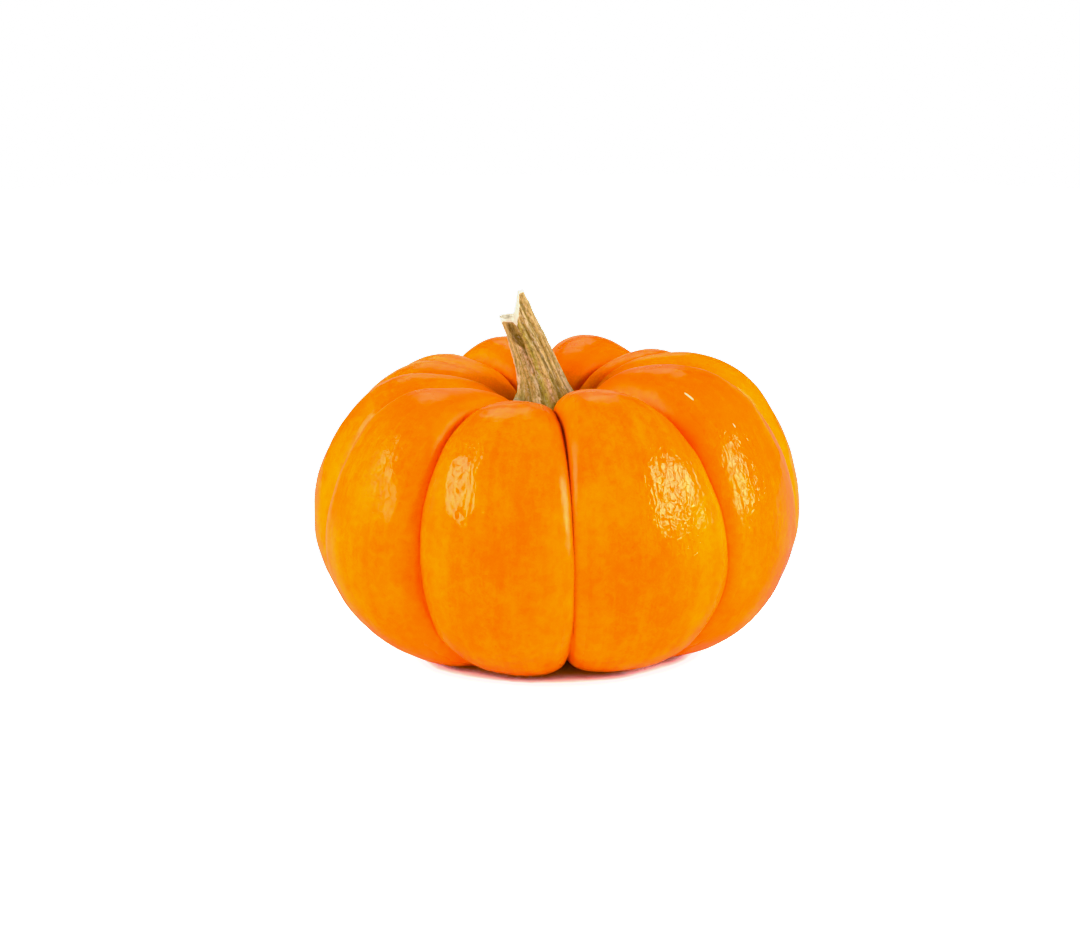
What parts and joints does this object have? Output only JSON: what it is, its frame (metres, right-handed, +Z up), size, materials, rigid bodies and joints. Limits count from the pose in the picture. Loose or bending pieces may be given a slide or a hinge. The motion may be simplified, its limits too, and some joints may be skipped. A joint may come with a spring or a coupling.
{
  "type": "pumpkin",
  "caption": "Small squat ribbed pumpkin with full lobes, as picked, with a stub of ridged dry stem in the hollow of its top.",
  "frame": {"origin": "on the resting plane, under the middle of the whole object's box", "axes": "+Z up from the blossom end to the stem; -Y is the side that faces the viewer; +X to the viewer's right"},
  "size_m": [0.0968, 0.0952, 0.0725],
  "materials": {
    "rind": "waxy orange rind, glossy, redder in the grooves and yellower on the crests",
    "dry_stem": "dry fibrous stem, tan with olive furrows, matt"
  },
  "bodies": {
    "root": {"fruit": "rind", "stem": "dry_stem"}
  },
  "joints": []
}
